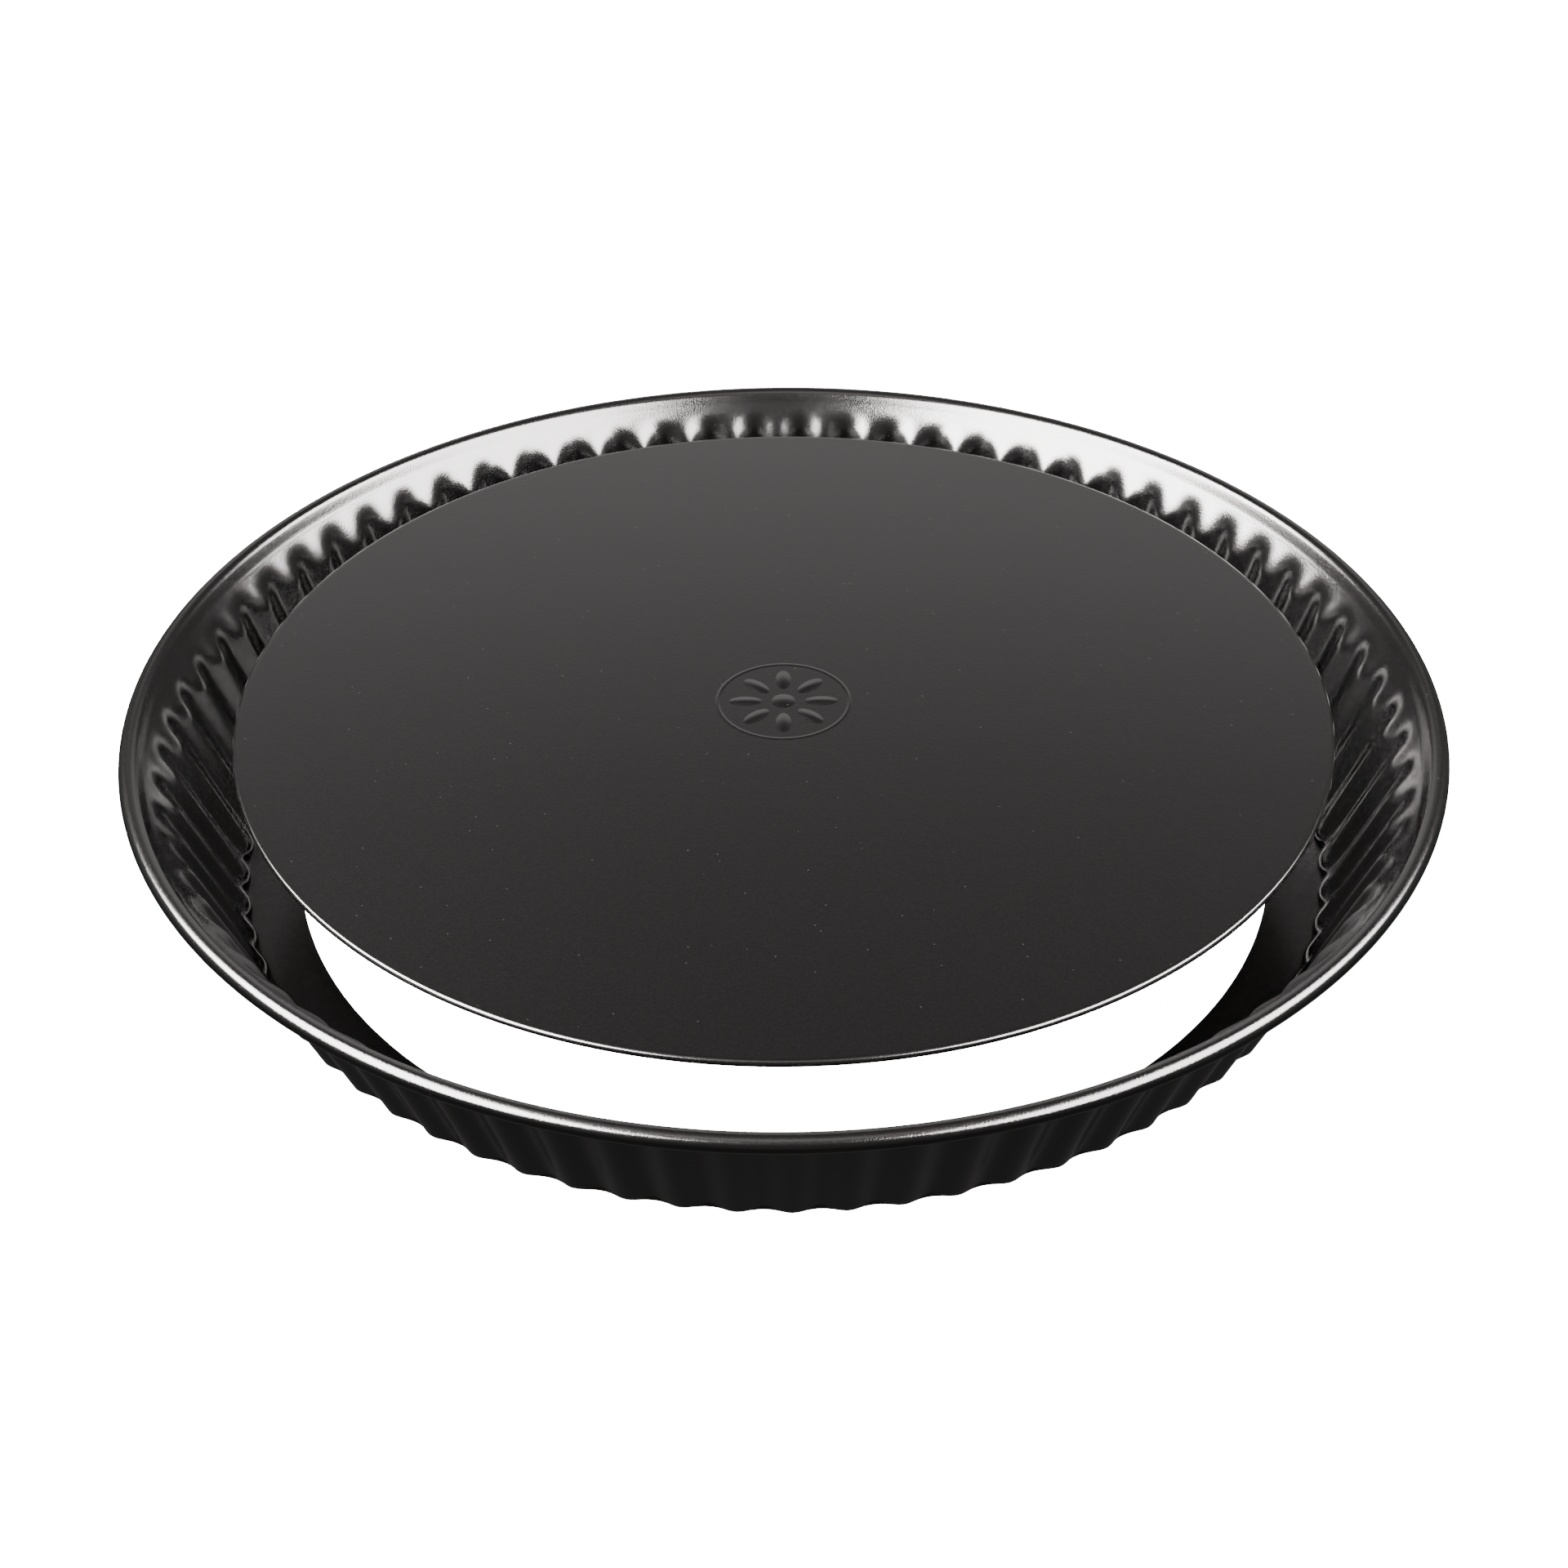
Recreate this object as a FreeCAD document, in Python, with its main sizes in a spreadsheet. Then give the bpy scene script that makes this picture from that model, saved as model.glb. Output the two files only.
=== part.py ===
import FreeCAD, Part
import math
import os

import Sketcher

# Loose-bottom tart pan, in millimetres, +Z up. The origin is on the pan's axis, in the plane it stands on.
# Two pieces: a fluted ring pressed from one sheet, and a base plate that drops in on the ring's ledge.
# The base plate is shown pushed up until its top is level with the middle of the rolled rim.

DIMENSIONS = {
    # The ring
    "rimRadius": 145.0,
    "rimHeight": 37.5,
    "beadHalfWidth": 2.25,
    "beadHalfHeight": 1.88,
    "curlStart": 30.0,
    "curlEnd": 300.0,
    "flankRadius": 139.95,
    "flankHeight": 37.0,
    "bandTopRadius": 139.4,
    "bandTopHeight": 36.3,
    "bandFootRadius": 135.9,
    "bandFootHeight": 32.65,
    "fluteFadeHeight": 29.5,
    "fluteEndHeight": 36.2,
    "sheet": 0.5,
    "openingRadius": 109.6,
    "flatRadius": 117.0,
    "footRadius": 121.9,
    "footBend": 1.4,
    "fluteCount": 71,
    "fluteDepth": 1.7,
    "flutePhase": 0.5,
    # The base plate
    "plateRadius": 120.8,
    "plateTopHeight": 37.55,
    "plateSheet": 0.7,
    "hemHeight": 1.5,
    "hemWidth": 7.0,
    # The stamped ornament on the base plate
    "ornamentRadius": 15.0,
    "ornamentLine": 0.8,
    "ornamentRise": 0.25,
    "hubRadius": 2.6,
    "petalCount": 8,
    "petalReach": 8.4,
    "petalHalfLength": 3.6,
    "petalHalfWidth": 1.7,
}

POLES_PER_FLUTE = 8
WALL_HEIGHTS = (8.0, 17.0, 24.0, 27.0, 29.0, 31.0, 33.0, 35.0)
# How far the flutes are formed at the three rows of the foot bend
FOOT_SHARES = (0.0, 0.5, 1.0)
CURL_POINTS = 27
SEWING_TOLERANCE = 0.001


def make_sheet(doc, sizes):
    """The spreadsheet of driving dimensions: names in column A, numbers with aliases in column B."""
    cells = doc.addObject("Spreadsheet::Sheet", "Dimensions")
    for row, (name, value) in enumerate(sizes.items(), start=1):
        cells.set(f"A{row}", name)
        cells.set(f"B{row}", str(value))
        cells.setAlias(f"B{row}", name)
    doc.recompute()
    return cells


# The fluted ring: one sheet from the opening, along the ledge, up the wall and over into the rolled rim


def flute_share(cells, height):
    """How deep the flutes are at a height of the wall: full below, fading out smoothly in the flared band."""
    span = cells.fluteEndHeight - cells.fluteFadeHeight
    part = min(1.0, max(0.0, (height - cells.fluteFadeHeight) / span))
    return 1.0 - part * part * (3.0 - 2.0 * part)


def line_radius(low, high, height):
    """Radius at a height on the straight line through two points given as (radius, height)."""
    return low[0] + (high[0] - low[0]) * (height - low[1]) / (high[1] - low[1])


def skin_rows(cells, outer):
    """Control points of one skin, row by row, for a given swing of the wall: a list of (radius, height)."""
    foot = (cells.footRadius, cells.sheet)
    band_foot = (cells.bandFootRadius, cells.bandFootHeight)
    band_top = (cells.bandTopRadius, cells.bandTopHeight)
    lean = (band_foot[0] - foot[0]) / (band_foot[1] - foot[1])
    flare = (band_top[0] - band_foot[0]) / (band_top[1] - band_foot[1])
    bend = cells.footBend
    thick = cells.sheet if outer else 0.0
    ledge = cells.sheet - thick
    # Thickness measured level, through the leaning wall and through the band
    wall_shift = thick * math.hypot(1.0, lean)
    band_shift = thick * math.hypot(1.0, flare)
    corner = cells.footRadius - lean * thick + wall_shift
    # Above the band the sheet turns steeper and runs up into the rolled rim
    top_height = cells.bandTopHeight - 0.6 * thick
    top_radius = line_radius(band_foot, band_top, top_height) + band_shift
    flank = (cells.flankRadius + 0.85 * thick, cells.flankHeight - 0.53 * thick)
    curl_start = rim_point(cells, thick, cells.curlStart)
    curl_foot = curl_start - 0.8 * rim_tangent(cells, thick, cells.curlStart)

    def rows(swing):
        points = [
            (cells.flatRadius, ledge),
            (cells.flatRadius + 1.0, ledge),
            (corner - bend + FOOT_SHARES[0] * swing, ledge),
            (corner + FOOT_SHARES[1] * swing, ledge),
            (corner + lean * bend + FOOT_SHARES[2] * swing, ledge + bend),
        ]
        for height in WALL_HEIGHTS:
            wall = line_radius(foot, band_foot, height) + wall_shift
            band = line_radius(band_foot, band_top, height) + band_shift
            points.append((max(wall, band) + flute_share(cells, height) * swing, height))
        points.append((top_radius, top_height))
        points.append(flank)
        points.append((curl_foot.x, curl_foot.z))
        points.append((curl_start.x, curl_start.z))
        return points

    return rows


def skin_face(cells, outer):
    """One closed B-spline face around the axis: its rows of control points swing in and out with the flutes."""
    rows = skin_rows(cells, outer)
    around = int(cells.fluteCount) * POLES_PER_FLUTE
    step = 2.0 * math.pi / around
    # A cubic through evenly turned control points runs inside their circle by this ratio
    swell = 3.0 / (2.0 + math.cos(step))
    start = math.radians(cells.flutePhase - 90.0)
    poles = []
    for index in range(around):
        angle = start + index * step
        swing = cells.fluteDepth / 2.0 * math.cos(2.0 * math.pi * index / POLES_PER_FLUTE)
        column = []
        for radius, height in rows(swing):
            reach = radius * swell
            column.append(FreeCAD.Vector(reach * math.cos(angle), reach * math.sin(angle), height))
        poles.append(column)
    spans = len(poles[0]) - 2
    surface = Part.BSplineSurface()
    surface.buildFromPolesMultsKnots(
        poles,
        [1] * (around + 1),
        [3] + [1] * (spans - 1) + [3],
        [float(knot) for knot in range(around + 1)],
        [float(knot) for knot in range(spans + 1)],
        True,
        False,
        3,
        2,
    )
    return surface.toShape()


def flat_face(cells, height):
    """The level part of the ledge, from the opening to the start of the flutes, at one height."""
    centre = FreeCAD.Vector(0, 0, height)
    up = FreeCAD.Vector(0, 0, 1)
    outline = Part.Wire(Part.Circle(centre, up, cells.flatRadius).toShape())
    opening = Part.Wire(Part.Circle(centre, up, cells.openingRadius).toShape())
    opening.reverse()
    return Part.Face([outline, opening])


def section_point(radius, height):
    return FreeCAD.Vector(radius, 0.0, height)


def rim_point(cells, inset, degrees):
    """A point of the rolled rim's oval section, inset from its outside, counted from its inner end."""
    angle = math.radians(degrees)
    return section_point(
        cells.rimRadius - cells.beadHalfWidth - (cells.beadHalfWidth - inset) * math.cos(angle),
        cells.rimHeight + (cells.beadHalfHeight - inset) * math.sin(angle),
    )


def rim_tangent(cells, inset, degrees):
    """The direction of the rolled rim's section at a point, of length one."""
    angle = math.radians(degrees)
    tangent = section_point(
        (cells.beadHalfWidth - inset) * math.sin(angle),
        (cells.beadHalfHeight - inset) * math.cos(angle),
    )
    return tangent.normalize()


def curl_points(cells, inset):
    """Points along the rolled rim's section, from its inner flank over the top and round underneath."""
    step = (cells.curlEnd - cells.curlStart) / CURL_POINTS
    return [rim_point(cells, inset, cells.curlStart + step * index) for index in range(CURL_POINTS + 1)]


def curve_through(points):
    curve = Part.BSplineCurve()
    curve.interpolate(points)
    return curve.toShape()


def revolved(edge):
    return edge.revolve(FreeCAD.Vector(0, 0, 0), FreeCAD.Vector(0, 0, 1), 360.0)


def ring_shape(cells):
    """The pressed ring closed as one solid: two fluted skins, the edge of the opening and the hollow curl."""
    curl_outside = curl_points(cells, 0.0)
    curl_inside = curl_points(cells, cells.sheet)
    opening_low = section_point(cells.openingRadius, 0.0)
    opening_high = section_point(cells.openingRadius, cells.sheet)
    faces = [
        skin_face(cells, outer=False),
        skin_face(cells, outer=True),
        flat_face(cells, cells.sheet),
        flat_face(cells, 0.0),
        revolved(Part.makeLine(opening_low, opening_high)),
        revolved(curve_through(curl_outside)),
        revolved(Part.makeLine(curl_outside[-1], curl_inside[-1])),
        revolved(curve_through(curl_inside)),
    ]
    shell = Part.Compound(faces)
    shell.sewShape(SEWING_TOLERANCE)
    solid = Part.Solid(shell.Shells[0])
    if solid.Volume < 0.0:
        solid.reverse()
    return solid


def make_ring(doc, cells):
    ring = doc.addObject("Part::Feature", "fluted_ring")
    ring.Label = "fluted_ring"
    ring.Shape = ring_shape(cells)
    ring.Placement = FreeCAD.Placement(FreeCAD.Vector(0, 0, 0), FreeCAD.Rotation())
    return ring


# The base plate: a flat sheet with its edge folded under, drawn with the underside of the fold at height 0


def origin_plane(body, role):
    for feature in body.Origin.OriginFeatures:
        if feature.Role == role:
            return feature
    raise ValueError(f"no origin plane {role}")


def add_sketch(body, name, role):
    sketch = body.newObject("Sketcher::SketchObject", name)
    sketch.AttachmentSupport = [(origin_plane(body, role), "")]
    sketch.MapMode = "FlatFace"
    return sketch


def size_constraint(sketch, name, constraint, expression):
    """Add a named dimension and bind it to the spreadsheet."""
    index = sketch.addConstraint(constraint)
    sketch.renameConstraint(index, name)
    sketch.setExpression(f"Constraints.{name}", expression)


def draw_plate_section(sketch, cells):
    """Half section of the plate: top, rounded edge, folded hem and thin middle, closed on the axis."""
    radius = cells.plateRadius
    height = cells.hemHeight
    bend = height / 2.0
    hem_start = radius - cells.hemWidth
    under = height - cells.plateSheet
    point = FreeCAD.Vector
    axis_line = sketch.addGeometry(Part.LineSegment(point(0, under, 0), point(0, height, 0)))
    top_line = sketch.addGeometry(Part.LineSegment(point(0, height, 0), point(radius - bend, height, 0)))
    circle = Part.Circle(point(radius - bend, bend, 0), point(0, 0, 1), bend)
    edge_arc = sketch.addGeometry(Part.ArcOfCircle(circle, -math.pi / 2.0, math.pi / 2.0))
    hem_line = sketch.addGeometry(Part.LineSegment(point(radius - bend, 0, 0), point(hem_start, 0, 0)))
    step_line = sketch.addGeometry(Part.LineSegment(point(hem_start, 0, 0), point(hem_start, under, 0)))
    under_line = sketch.addGeometry(Part.LineSegment(point(hem_start, under, 0), point(0, under, 0)))
    constraint = Sketcher.Constraint
    sketch.addConstraint(
        [
            constraint("Coincident", axis_line, 2, top_line, 1),
            constraint("Tangent", top_line, 2, edge_arc, 2),
            constraint("Tangent", edge_arc, 1, hem_line, 1),
            constraint("Coincident", hem_line, 2, step_line, 1),
            constraint("Coincident", step_line, 2, under_line, 1),
            constraint("Coincident", under_line, 2, axis_line, 1),
            constraint("PointOnObject", axis_line, 1, -2),
            constraint("PointOnObject", axis_line, 2, -2),
            constraint("PointOnObject", hem_line, 2, -1),
            constraint("Horizontal", top_line),
            constraint("Horizontal", hem_line),
            constraint("Horizontal", under_line),
            constraint("Vertical", step_line),
        ]
    )
    size_constraint(
        sketch,
        "hemHeight",
        constraint("DistanceY", -1, 1, top_line, 2, height),
        "Dimensions.hemHeight",
    )
    size_constraint(
        sketch,
        "middleThickness",
        constraint("DistanceY", axis_line, 1, axis_line, 2, cells.plateSheet),
        "Dimensions.plateSheet",
    )
    size_constraint(
        sketch,
        "edgeCentre",
        constraint("DistanceX", -1, 1, edge_arc, 3, radius - bend),
        "Dimensions.plateRadius - Dimensions.hemHeight / 2",
    )
    size_constraint(
        sketch,
        "hemStart",
        constraint("DistanceX", -1, 1, step_line, 1, hem_start),
        "Dimensions.plateRadius - Dimensions.hemWidth",
    )


def add_circle(sketch, name, radius, expression):
    """A circle about the sketch's origin with its radius bound to the spreadsheet."""
    circle = sketch.addGeometry(Part.Circle(FreeCAD.Vector(0, 0, 0), FreeCAD.Vector(0, 0, 1), radius))
    sketch.addConstraint(Sketcher.Constraint("Coincident", circle, 3, -1, 1))
    size_constraint(sketch, name, Sketcher.Constraint("Radius", circle, radius), expression)


def add_petal(sketch, cells):
    """One ellipse lying along the sketch's X axis."""
    reach = cells.petalReach
    long_half = cells.petalHalfLength
    short_half = cells.petalHalfWidth
    centre = FreeCAD.Vector(reach, 0, 0)
    tip = FreeCAD.Vector(reach + long_half, 0, 0)
    side = FreeCAD.Vector(reach, short_half, 0)
    petal = sketch.addGeometry(Part.Ellipse(tip, side, centre))
    sketch.exposeInternalGeometry(petal)
    long_axis = petal + 1
    short_axis = petal + 2
    constraint = Sketcher.Constraint
    sketch.addConstraint(constraint("PointOnObject", petal, 3, -1))
    sketch.addConstraint(constraint("Horizontal", long_axis))
    size_constraint(
        sketch,
        "petalReach",
        constraint("DistanceX", -1, 1, petal, 3, reach),
        "Dimensions.petalReach",
    )
    size_constraint(
        sketch,
        "petalLength",
        constraint("Distance", long_axis, 2.0 * long_half),
        "2 * Dimensions.petalHalfLength",
    )
    size_constraint(
        sketch,
        "petalWidth",
        constraint("Distance", short_axis, 2.0 * short_half),
        "2 * Dimensions.petalHalfWidth",
    )


def add_raised(body, sketch, name):
    """Raise a sketch drawn at the underside of the fold up through the plate to the ornament's height."""
    pad = body.newObject("PartDesign::Pad", name)
    pad.Profile = sketch
    pad.setExpression("Length", "Dimensions.ornamentRise + Dimensions.plateSheet / 2")
    sketch.setExpression("AttachmentOffset.Base.z", "Dimensions.hemHeight - Dimensions.plateSheet / 2")
    return pad


def make_plate(doc, cells):
    plate = doc.addObject("PartDesign::Body", "base_plate")
    plate.Label = "base_plate"

    section = add_sketch(plate, "PlateSection", "XZ_Plane")
    draw_plate_section(section, cells)
    turned = plate.newObject("PartDesign::Revolution", "TurnedPlate")
    turned.Profile = section
    turned.ReferenceAxis = (section, ["V_Axis"])
    turned.Angle = 360.0
    doc.recompute()

    rings = add_sketch(plate, "OrnamentRings", "XY_Plane")
    line = cells.ornamentLine
    add_circle(rings, "outerRing", cells.ornamentRadius, "Dimensions.ornamentRadius")
    add_circle(
        rings,
        "outerRingInside",
        cells.ornamentRadius - line,
        "Dimensions.ornamentRadius - Dimensions.ornamentLine",
    )
    add_circle(rings, "hub", cells.hubRadius, "Dimensions.hubRadius")
    add_raised(plate, rings, "RaisedRings")
    doc.recompute()

    petal = add_sketch(plate, "OrnamentPetal", "XY_Plane")
    add_petal(petal, cells)
    raised_petal = add_raised(plate, petal, "RaisedPetal")
    plate.Tip = raised_petal
    doc.recompute()

    petals = plate.newObject("PartDesign::PolarPattern", "RaisedPetals")
    petals.Originals = [raised_petal]
    petals.Axis = (petal, ["N_Axis"])
    petals.Angle = 360.0
    petals.setExpression("Occurrences", "Dimensions.petalCount")
    plate.Tip = petals

    plate.setExpression("Placement.Base.z", "Dimensions.plateTopHeight - Dimensions.hemHeight")
    return plate


def check_objects(doc):
    for item in doc.Objects:
        if "Invalid" in item.State or "Error" in item.State:
            raise RuntimeError(f"{item.Name} did not compute: {item.State}")


def export(piece, folder):
    shape = piece.Shape
    if shape.isNull() or not shape.isValid():
        raise RuntimeError(f"{piece.Label} has no valid shape")
    if len(shape.Solids) != 1:
        raise RuntimeError(f"{piece.Label} has {len(shape.Solids)} solids")
    shape.exportStep(os.path.join(folder, f"{piece.Label}.step"))


def main():
    os.makedirs("parts", exist_ok=True)
    doc = FreeCAD.newDocument("TartPan")
    cells = make_sheet(doc, DIMENSIONS)
    pieces = [make_ring(doc, cells), make_plate(doc, cells)]
    doc.recompute()
    check_objects(doc)
    for piece in pieces:
        export(piece, "parts")


main()
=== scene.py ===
import math

import bpy
import numpy as np
from mathutils import Matrix, Vector


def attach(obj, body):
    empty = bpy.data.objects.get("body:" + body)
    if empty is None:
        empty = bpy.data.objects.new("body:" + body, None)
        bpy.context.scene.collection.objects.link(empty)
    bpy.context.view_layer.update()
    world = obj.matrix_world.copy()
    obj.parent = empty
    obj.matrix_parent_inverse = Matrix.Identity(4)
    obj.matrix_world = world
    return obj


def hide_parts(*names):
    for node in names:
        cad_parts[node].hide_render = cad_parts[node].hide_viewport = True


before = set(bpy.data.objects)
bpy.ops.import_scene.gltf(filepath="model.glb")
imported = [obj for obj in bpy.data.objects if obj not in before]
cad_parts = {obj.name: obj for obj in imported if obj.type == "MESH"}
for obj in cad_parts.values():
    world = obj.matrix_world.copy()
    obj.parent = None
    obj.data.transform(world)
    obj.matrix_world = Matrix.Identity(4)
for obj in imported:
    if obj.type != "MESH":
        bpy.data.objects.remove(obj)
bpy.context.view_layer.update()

# Lengths are in millimetres and become metres as each mesh is made
MM = 0.001

# Ring: sheet, ledge, fluted wall, smooth flared band and rolled rim
SHEET = 0.5
OPENING_RADIUS = 109.6
FOOT_RADIUS = 121.9
FOOT_BEND = 1.8
BAND_FOOT_RADIUS = 138.1
BAND_FOOT_HEIGHT = 35.29
BAND_TOP_RADIUS = 140.3
BAND_TOP_HEIGHT = 37.59
RIM_RADIUS = 144.995
RIM_HEIGHT = 37.5
BEAD_HALF_WIDTH = 2.25
BEAD_HALF_HEIGHT = 1.87
CURL_START = math.radians(36.0)
CURL_END = math.radians(300.0)

# The wall and the band meet in a rounded corner, and a slightly bulged flank joins the band to the rim
WALL_TOP = 32.8
CORNER_WIDTH = 2.2
FLANK_FOOT_HEIGHT = 36.28
FLANK_BULGE = 0.42

# Flutes: full depth up the wall, faded out through the band
FLUTES = 71
FLUTE_DEPTH = 1.7
FLUTE_PHASE = math.radians(0.5)
FADE_START = 28.5
FADE_END = 36.2

# Base: a disc whose edge is folded under as a hem
PLATE_RADIUS = 120.8
PLATE_TOP = 37.55
PLATE_SHEET = 0.7
HEM_HEIGHT = 1.5
HEM_WIDTH = 7.0
HEM_LIP = 0.2

# Ornament stamped at the middle of the base
ORNAMENT_RADIUS = 15.0
ORNAMENT_LINE = 0.8
ORNAMENT_LINE_RISE = 0.08
ORNAMENT_RISE = 0.25
HUB_RADIUS = 2.6
PETALS = 8
PETAL_REACH = 8.4
PETAL_LENGTH = 3.6
PETAL_WIDTH = 1.7

# How finely the skins are divided; the wall's rows are closer from where the flutes begin to fade
COLUMNS_PER_FLUTE = 20
BEND_ROWS = 9
WALL_ROWS = 12
BAND_ROWS = 32
BAND_ROWS_START = 26.6
BAND_ROWS_END = 36.1
FLANK_ROWS = 9
CURL_ROWS = 45
PLATE_COLUMNS = 720
ORNAMENT_ROWS = 90
PLATE_ROWS = 24
EDGE_ROWS = 15
UNDER_ROWS = 6

# Soft boxes: azimuth from the front towards +X and elevation in degrees, height in metres, brightness
BOX_DISTANCE = 1.4
BOX_WIDTH = 1.7
BOX_TINT = (1.0, 0.955, 0.935)
SOFT_BOXES = {
    "box_right": (82.0, 52.0, 0.74, 42.0),
    "box_left": (-84.0, 52.0, 0.80, 75.0),
}

# Brightness of the sky by elevation in degrees: straight behind the pan, and everywhere else.
# A ramp has two stops from the start, so the two ends come first.
SKY_ENDS = ((-90.0, 0.08), (90.0, 1.00))
SKY_BACK = (*SKY_ENDS, (-30.0, 0.12), (-8.0, 0.50), (27.5, 0.88), (35.5, 0.23), (46.0, 0.08), (76.0, 0.20))
SKY_ROOM = (*SKY_ENDS, (-12.0, 0.08), (0.0, 0.16), (48.0, 0.16), (74.0, 0.22), (82.0, 1.00))
SKY_TINT = (1.0, 0.955, 0.945)
SKY_BACK_EDGE = (0.45, 0.62)

# Floor: half its width and its depth under the pan in metres, and its brightness
FLOOR_HALF = 30.0
FLOOR_DROP = 0.0002
FLOOR_GLOW = 18.0

# Camera: elevation, pitch and roll in radians, distance in rim radii, lens in millimetres
CAMERA_ELEVATION = math.radians(34.149)
CAMERA_PITCH = math.radians(-1.653)
CAMERA_ROLL = math.radians(0.385)
CAMERA_DISTANCE = 4.4
CAMERA_LENS = 66.1


# Meshes


def make_mesh(name, grid, capped=False):
    """A closed mesh from rows of points round the axis: a tube, or a disc capped top and bottom."""
    rows, columns = grid.shape[:2]
    index = np.arange(rows * columns).reshape(rows, columns)
    beside = np.roll(index, -1, axis=1)
    quads = np.stack([index, np.roll(index, -1, axis=0), np.roll(beside, -1, axis=0), beside], axis=-1)
    points = grid.reshape(-1, 3)
    if capped:
        top, bottom = rows * columns, rows * columns + 1
        points = np.concatenate([points, [grid[0].mean(axis=0), grid[-1].mean(axis=0)]])
        faces = quads[:-1].reshape(-1, 4).tolist()
        faces += [(top, int(here), int(there)) for here, there in zip(index[0], beside[0])]
        faces += [(bottom, int(there), int(here)) for here, there in zip(index[-1], beside[-1])]
    else:
        faces = quads.reshape(-1, 4).tolist()
    mesh = bpy.data.meshes.new(name)
    mesh.from_pydata((points * MM).tolist(), [], faces)
    mesh.validate()
    mesh.shade_smooth()
    piece = bpy.data.objects.new(name, mesh)
    bpy.context.scene.collection.objects.link(piece)
    return piece


def rounded_max(first, second, width):
    """The larger of two numbers, with the corner between them rounded over about the given width."""
    share = np.clip(0.5 + 0.5 * (first - second) / width, 0.0, 1.0)
    return second + (first - second) * share + width * share * (1.0 - share)


def band_radius(height):
    """The band's radius at a height, and below its foot the same slope carried on."""
    lean = (BAND_TOP_RADIUS - BAND_FOOT_RADIUS) / (BAND_TOP_HEIGHT - BAND_FOOT_HEIGHT)
    return BAND_FOOT_RADIUS + lean * (height - BAND_FOOT_HEIGHT)


def curl_point(angle):
    """Radius and height on the oval of the rolled rim, by the angle from its inner side."""
    radius = RIM_RADIUS - BEAD_HALF_WIDTH - BEAD_HALF_WIDTH * math.cos(angle)
    return radius, RIM_HEIGHT + BEAD_HALF_HEIGHT * math.sin(angle)


def ring_skin(columns):
    """The ring's visible skin from the opening to the end of the curl: radius and height of every point."""
    turn = np.arange(columns) * FLUTES / columns
    wave = FLUTE_DEPTH / 2.0 * np.cos(2.0 * np.pi * turn)
    rows = []

    def level(radius, height, share=0.0):
        rows.append((radius + share * wave, np.full(columns, height)))

    # Ledge
    for inset in (0.0, 0.15, 0.6, 1.9, 4.4, 6.9):
        level(OPENING_RADIUS + inset, SHEET)

    # Bend from the ledge into the wall, over which the flutes grow
    wall_lean = (band_radius(WALL_TOP) - FOOT_RADIUS) / (WALL_TOP - SHEET)
    wall_angle = math.atan2(1.0, wall_lean)
    bend_start = FOOT_RADIUS - FOOT_BEND * math.tan(wall_angle / 2.0)
    for inset, share in ((1.8, 0.0), (0.8, 0.1)):
        level(bend_start - inset, SHEET, share)
    for row in range(BEND_ROWS + 1):
        angle = wall_angle * row / BEND_ROWS
        radius = bend_start + FOOT_BEND * math.sin(angle)
        height = SHEET + FOOT_BEND * (1.0 - math.cos(angle))
        level(radius, height, 0.2 + 0.8 * (row / BEND_ROWS) ** 2)

    # Wall and band
    wall_start = SHEET + FOOT_BEND * (1.0 - math.cos(wall_angle)) + 0.8
    coarse = np.linspace(wall_start, BAND_ROWS_START - 0.6, WALL_ROWS)
    fine = np.linspace(BAND_ROWS_START, BAND_ROWS_END, BAND_ROWS)
    for height in (*coarse, *fine):
        wall_radius = FOOT_RADIUS + wall_lean * (height - SHEET)
        radius = rounded_max(wall_radius, band_radius(height), CORNER_WIDTH)
        fade = np.clip((height - FADE_START) / (FADE_END - FADE_START), 0.0, 1.0)
        level(radius, height, 1.0 - fade * fade * (3.0 - 2.0 * fade))

    # Flank
    foot_radius = band_radius(FLANK_FOOT_HEIGHT)
    top_radius, top_height = curl_point(CURL_START)
    for row in range(FLANK_ROWS):
        share = row / FLANK_ROWS
        bulge = FLANK_BULGE * share * (1.0 - share) ** 3
        radius = foot_radius + (top_radius - foot_radius) * share + bulge
        level(radius, FLANK_FOOT_HEIGHT + (top_height - FLANK_FOOT_HEIGHT) * share)

    # Rolled rim
    for angle in np.linspace(CURL_START, CURL_END, CURL_ROWS):
        level(*curl_point(angle))

    radius = np.array([row[0] for row in rows])
    height = np.array([row[1] for row in rows])
    return radius, height


def make_ring():
    """The ring: its visible skin, and the same skin moved one sheet thickness back."""
    columns = FLUTES * COLUMNS_PER_FLUTE
    radius, height = ring_skin(columns)
    angle = -math.pi / 2.0 + FLUTE_PHASE + np.arange(columns) * 2.0 * math.pi / columns
    skin = np.stack([radius * np.cos(angle), radius * np.sin(angle), height], axis=-1)
    along = np.gradient(skin, axis=0)
    around = np.roll(skin, -1, axis=1) - np.roll(skin, 1, axis=1)
    normal = np.cross(around, along)
    normal /= np.linalg.norm(normal, axis=-1, keepdims=True)
    under = skin + SHEET * normal
    under[0, :, 2] = 0.0
    under[0, :, :2] = skin[0, :, :2]
    return make_mesh("ring", np.concatenate([skin, under[::-1]]))


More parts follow.
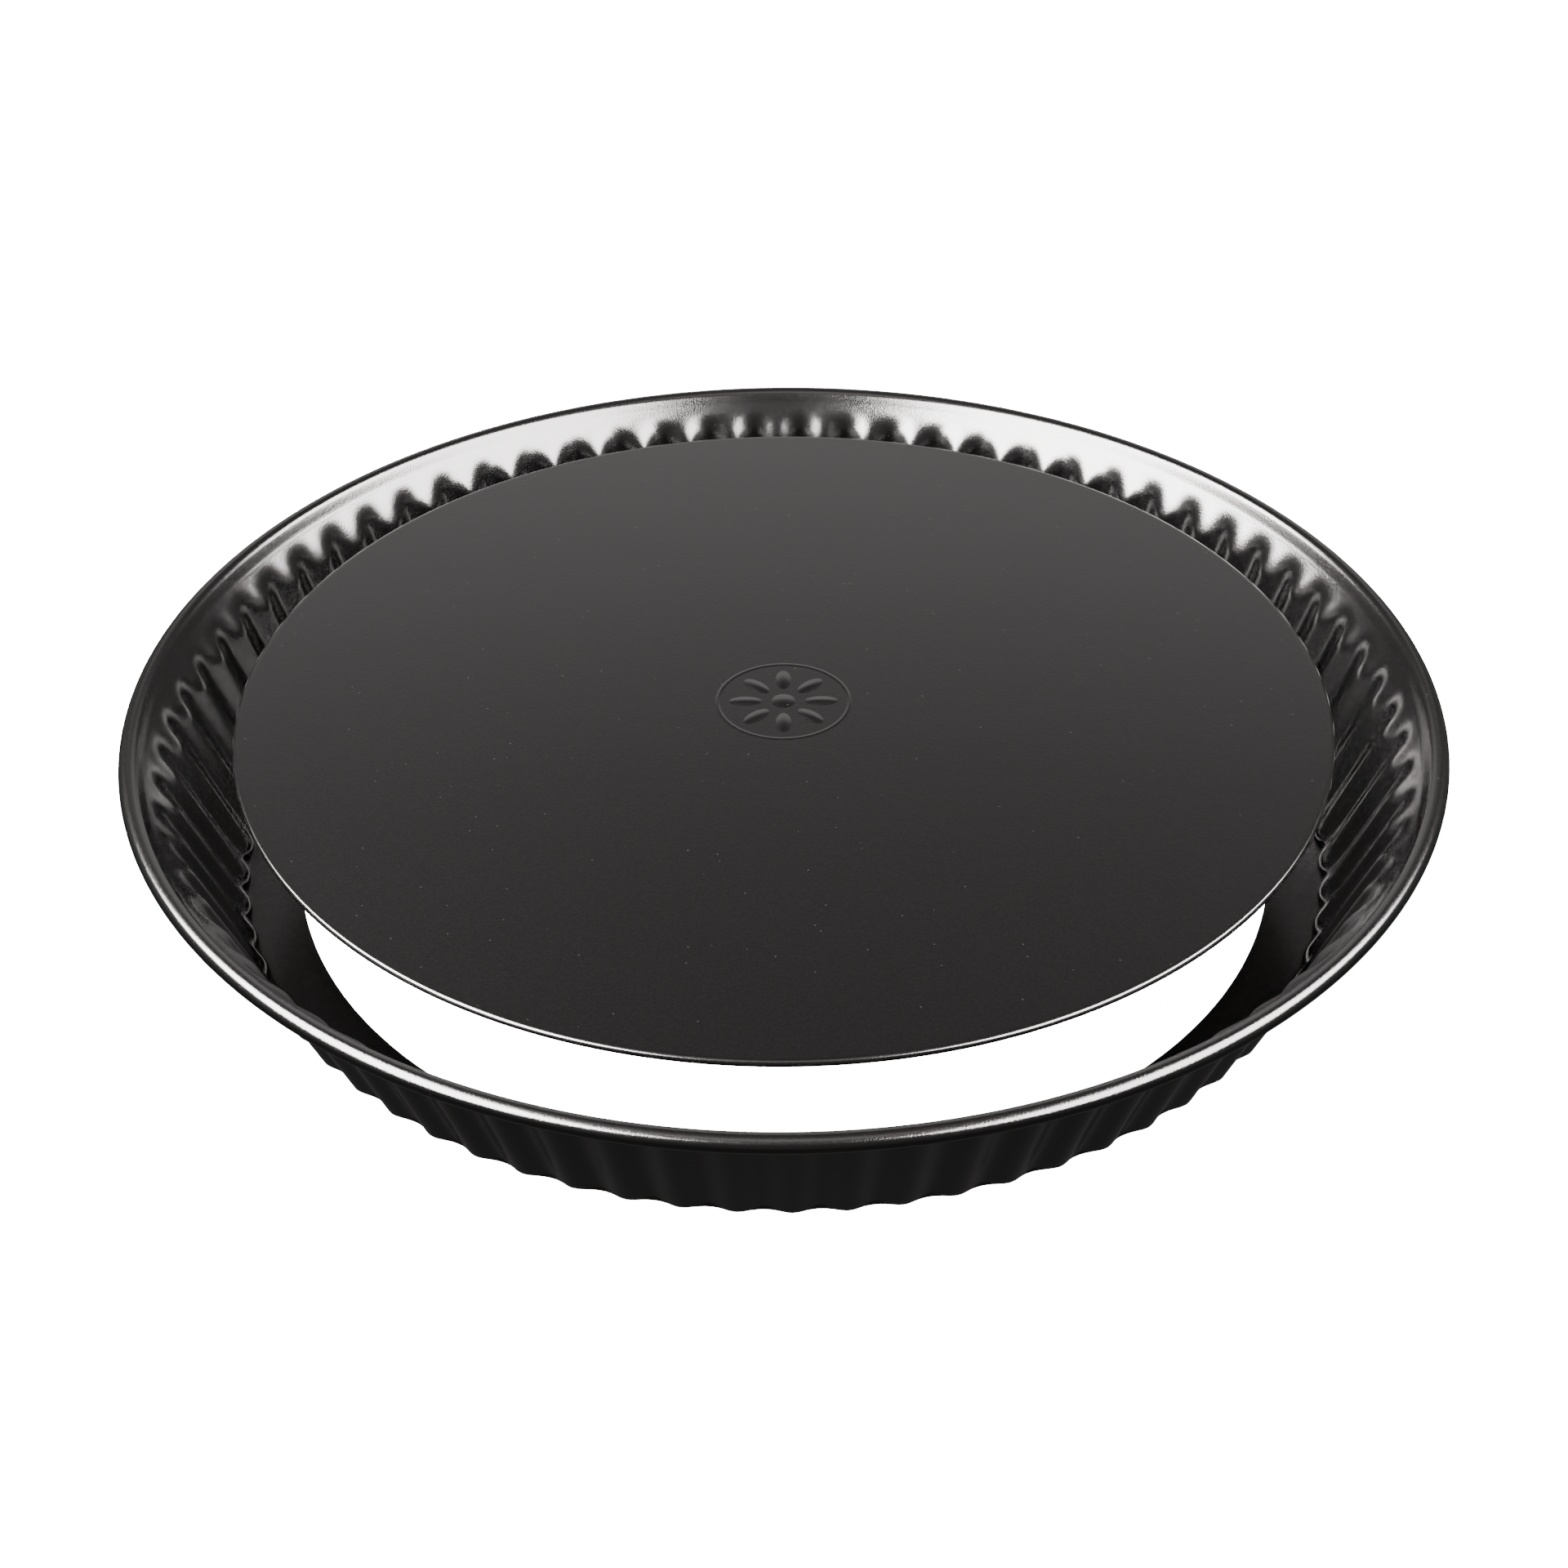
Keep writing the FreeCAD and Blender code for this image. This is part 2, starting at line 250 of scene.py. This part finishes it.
def ornament(x, y):
    """Height of the stamped ornament over the plate: a low raised ring, domed petals and a domed hub."""
    radius = np.hypot(x, y)
    half_line = ORNAMENT_LINE / 2.0
    across_line = (radius - ORNAMENT_RADIUS + half_line) / half_line
    height = ORNAMENT_LINE_RISE * (1.0 - across_line**2)
    height = np.maximum(height, ORNAMENT_RISE * (1.0 - (radius / HUB_RADIUS) ** 2))
    for petal in range(PETALS):
        angle = 2.0 * math.pi * petal / PETALS
        along = x * math.cos(angle) + y * math.sin(angle) - PETAL_REACH
        across = -x * math.sin(angle) + y * math.cos(angle)
        share = (along / PETAL_LENGTH) ** 2 + (across / PETAL_WIDTH) ** 2
        height = np.maximum(height, ORNAMENT_RISE * (1.0 - share))
    return np.maximum(height, 0.0)


def plate_outline():
    """Radius and height of the plate's rows: out along the top, round the edge and back in underneath."""
    half_edge = HEM_HEIGHT / 2.0
    flat_end = PLATE_RADIUS - half_edge
    bottom = PLATE_TOP - HEM_HEIGHT
    under = PLATE_TOP - PLATE_SHEET
    hem = PLATE_RADIUS - HEM_WIDTH
    middle = np.linspace(0.2, ORNAMENT_RADIUS + 0.6, ORNAMENT_ROWS)
    flat = np.linspace(ORNAMENT_RADIUS + 1.2, flat_end - 0.65, PLATE_ROWS)
    rows = [(radius, PLATE_TOP) for radius in (*middle, *flat)]
    for turn in np.radians(np.linspace(90.0, -90.0, EDGE_ROWS)):
        rows.append((flat_end + half_edge * math.cos(turn), bottom + half_edge * (1.0 + math.sin(turn))))
    rows += [(PLATE_RADIUS - 1.8, bottom), (hem + 0.6, bottom), (hem + 0.25, bottom)]
    for turn in np.radians(np.linspace(0.0, 80.0, 5)):
        rows.append((hem + HEM_LIP * (1.0 - math.sin(turn)), bottom + HEM_LIP * (1.0 - math.cos(turn))))
    rows += [(hem, under - 0.15), (hem - 0.05, under - 0.03), (hem - 0.25, under)]
    rows += [(radius, under) for radius in np.linspace(hem - 1.0, 8.0, UNDER_ROWS)]
    return rows


def make_plate():
    """The base: the plate's outline turned round the axis, with the ornament raised on its top."""
    angle = np.arange(PLATE_COLUMNS) * 2.0 * math.pi / PLATE_COLUMNS
    points = []
    for radius, height in plate_outline():
        x, y = radius * np.cos(angle), radius * np.sin(angle)
        z = np.full(PLATE_COLUMNS, height)
        if height == PLATE_TOP:
            z += ornament(x, y)
        points.append(np.stack([x, y, z], axis=-1))
    return make_mesh("base", np.array(points), capped=True)


# Materials


def coating(name, color, roughness, grain, speck):
    """A dark non-stick coating: near-black, satin, with a fine grain and paler specks in its colour."""
    material = bpy.data.materials.new(name)
    material.use_nodes = True
    nodes, links = material.node_tree.nodes, material.node_tree.links
    shader = nodes["Principled BSDF"]
    shader.inputs["IOR"].default_value = 1.8
    coords = nodes.new("ShaderNodeTexCoord")

    broad = nodes.new("ShaderNodeTexNoise")
    broad.inputs["Scale"].default_value = 14.0
    broad.inputs["Detail"].default_value = 3.0
    links.new(coords.outputs["Object"], broad.inputs["Vector"])
    tone = nodes.new("ShaderNodeMixRGB")
    tone.inputs["Color1"].default_value = (*[0.88 * channel for channel in color], 1.0)
    tone.inputs["Color2"].default_value = (*[1.12 * channel for channel in color], 1.0)
    links.new(broad.outputs["Fac"], tone.inputs["Fac"])

    specks = nodes.new("ShaderNodeTexVoronoi")
    specks.inputs["Scale"].default_value = 260.0
    links.new(coords.outputs["Object"], specks.inputs["Vector"])
    speck_mask = nodes.new("ShaderNodeMapRange")
    speck_mask.inputs["From Min"].default_value = 0.050
    speck_mask.inputs["From Max"].default_value = 0.025
    links.new(specks.outputs["Distance"], speck_mask.inputs["Value"])
    speck_tone = nodes.new("ShaderNodeMixRGB")
    speck_tone.inputs["Color2"].default_value = (*[speck * channel for channel in color], 1.0)
    links.new(speck_mask.outputs["Result"], speck_tone.inputs["Fac"])
    links.new(tone.outputs["Color"], speck_tone.inputs["Color1"])
    links.new(speck_tone.outputs["Color"], shader.inputs["Base Color"])

    fine = nodes.new("ShaderNodeTexNoise")
    fine.inputs["Scale"].default_value = 2600.0
    fine.inputs["Detail"].default_value = 2.0
    fine.inputs["Roughness"].default_value = 0.6
    links.new(coords.outputs["Object"], fine.inputs["Vector"])
    rough = nodes.new("ShaderNodeMapRange")
    rough.inputs["From Min"].default_value = 0.3
    rough.inputs["From Max"].default_value = 0.7
    rough.inputs["To Min"].default_value = roughness - 0.02
    rough.inputs["To Max"].default_value = roughness + 0.02
    links.new(fine.outputs["Fac"], rough.inputs["Value"])
    links.new(rough.outputs["Result"], shader.inputs["Roughness"])

    bump = nodes.new("ShaderNodeBump")
    bump.inputs["Strength"].default_value = grain
    bump.inputs["Distance"].default_value = 0.00006
    links.new(fine.outputs["Fac"], bump.inputs["Height"])
    links.new(bump.outputs["Normal"], shader.inputs["Normal"])
    return material


ring = make_ring()
ring.data.materials.append(coating("ring_coating", (0.0003, 0.00028, 0.00028), 0.165, 0.45, 60.0))
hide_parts("fluted_ring")
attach(ring, "ring")

base = make_plate()
base.data.materials.append(coating("base_coating", (0.0004, 0.00037, 0.00037), 0.17, 0.2, 35.0))
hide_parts("base_plate")
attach(base, "base")


# Studio: a pale floor, a soft sky and two soft boxes


def pale_floor():
    """A white floor that is seen directly but is not mirrored in the pan."""
    mesh = bpy.data.meshes.new("floor")
    sides = [(-1.0, -1.0), (1.0, -1.0), (1.0, 1.0), (-1.0, 1.0)]
    corners = [(FLOOR_HALF * x, FLOOR_HALF * y, -FLOOR_DROP) for x, y in sides]
    mesh.from_pydata(corners, [], [(0, 1, 2, 3)])
    floor = bpy.data.objects.new("floor", mesh)
    bpy.context.scene.collection.objects.link(floor)
    material = bpy.data.materials.new("floor_white")
    material.use_nodes = True
    shader = material.node_tree.nodes["Principled BSDF"]
    shader.inputs["Base Color"].default_value = (0.9, 0.9, 0.9, 1.0)
    shader.inputs["Roughness"].default_value = 1.0
    shader.inputs["Specular IOR Level"].default_value = 0.0
    shader.inputs["Emission Color"].default_value = (1.0, 1.0, 1.0, 1.0)
    shader.inputs["Emission Strength"].default_value = FLOOR_GLOW
    mesh.materials.append(material)
    floor.visible_glossy = False
    floor.visible_diffuse = False


def soft_box(name, azimuth, elevation, height, brightness):
    """An area light aimed at the pan."""
    light = bpy.data.lights.new(name, "AREA")
    light.shape = "RECTANGLE"
    light.size = BOX_WIDTH
    light.size_y = height
    light.energy = brightness * BOX_WIDTH * height * math.pi
    light.color = BOX_TINT
    lamp = bpy.data.objects.new(name, light)
    turn, rise = math.radians(azimuth), math.radians(elevation)
    direction = Vector((math.sin(turn) * math.cos(rise), -math.cos(turn) * math.cos(rise), math.sin(rise)))
    lamp.location = Vector((0.0, 0.0, 0.03)) + BOX_DISTANCE * direction
    lamp.rotation_euler = direction.to_track_quat("Z", "Y").to_euler()
    bpy.context.scene.collection.objects.link(lamp)


def sky_ramp(nodes, links, height, stops):
    """A colour ramp over the sine of the elevation."""
    ramp = nodes.new("ShaderNodeValToRGB")
    links.new(height.outputs["Result"], ramp.inputs["Fac"])
    elements = ramp.color_ramp.elements
    for stop, (elevation, value) in enumerate(stops):
        place = 0.5 + 0.5 * math.sin(math.radians(elevation))
        element = elements[stop] if stop < len(SKY_ENDS) else elements.new(place)
        element.position = place
        element.color = (*[value * tint for tint in SKY_TINT], 1.0)
    return ramp


def soft_sky():
    """A sky with a brighter part straight behind the pan, blended over into the dimmer room."""
    world = bpy.data.worlds.new("sky")
    bpy.context.scene.world = world
    world.use_nodes = True
    nodes, links = world.node_tree.nodes, world.node_tree.links
    coords = nodes.new("ShaderNodeTexCoord")
    split = nodes.new("ShaderNodeSeparateXYZ")
    links.new(coords.outputs["Generated"], split.inputs["Vector"])
    height = nodes.new("ShaderNodeMapRange")
    height.inputs["From Min"].default_value = -1.0
    height.inputs["From Max"].default_value = 1.0
    links.new(split.outputs["Z"], height.inputs["Value"])
    aside = nodes.new("ShaderNodeMath")
    aside.operation = "ABSOLUTE"
    links.new(split.outputs["X"], aside.inputs[0])
    behind = nodes.new("ShaderNodeMath")
    behind.operation = "SUBTRACT"
    links.new(split.outputs["Y"], behind.inputs[0])
    links.new(aside.outputs["Value"], behind.inputs[1])
    share = nodes.new("ShaderNodeMapRange")
    share.inputs["From Min"].default_value = SKY_BACK_EDGE[0]
    share.inputs["From Max"].default_value = SKY_BACK_EDGE[1]
    links.new(behind.outputs["Value"], share.inputs["Value"])
    blend = nodes.new("ShaderNodeMixRGB")
    links.new(share.outputs["Result"], blend.inputs["Fac"])
    links.new(sky_ramp(nodes, links, height, SKY_ROOM).outputs["Color"], blend.inputs["Color1"])
    links.new(sky_ramp(nodes, links, height, SKY_BACK).outputs["Color"], blend.inputs["Color2"])
    links.new(blend.outputs["Color"], nodes["Background"].inputs["Color"])


pale_floor()
soft_sky()
for box_name, box_values in SOFT_BOXES.items():
    soft_box(box_name, *box_values)


# Camera


def add_camera():
    """The camera in front of the pan, looking down at the middle of the base."""
    away = Vector((0.0, -math.cos(CAMERA_ELEVATION), math.sin(CAMERA_ELEVATION)))
    tilt = CAMERA_ELEVATION - CAMERA_PITCH
    forward = Vector((0.0, math.cos(tilt), -math.sin(tilt)))
    turn = Matrix.Rotation(CAMERA_ROLL, 3, forward)
    right = turn @ Vector((1.0, 0.0, 0.0))
    up = turn @ Vector((0.0, math.sin(tilt), math.cos(tilt)))
    data = bpy.data.cameras.new("camera")
    data.lens = CAMERA_LENS
    data.sensor_width = 36.0
    data.dof.use_dof = False
    data.clip_start = 0.01
    camera = bpy.data.objects.new("camera", data)
    camera.matrix_world = Matrix((right, up, -forward)).transposed().to_4x4()
    camera.location = Vector((0.0, 0.0, PLATE_TOP * MM)) + CAMERA_DISTANCE * RIM_RADIUS * MM * away
    bpy.context.scene.collection.objects.link(camera)
    bpy.context.scene.camera = camera


add_camera()
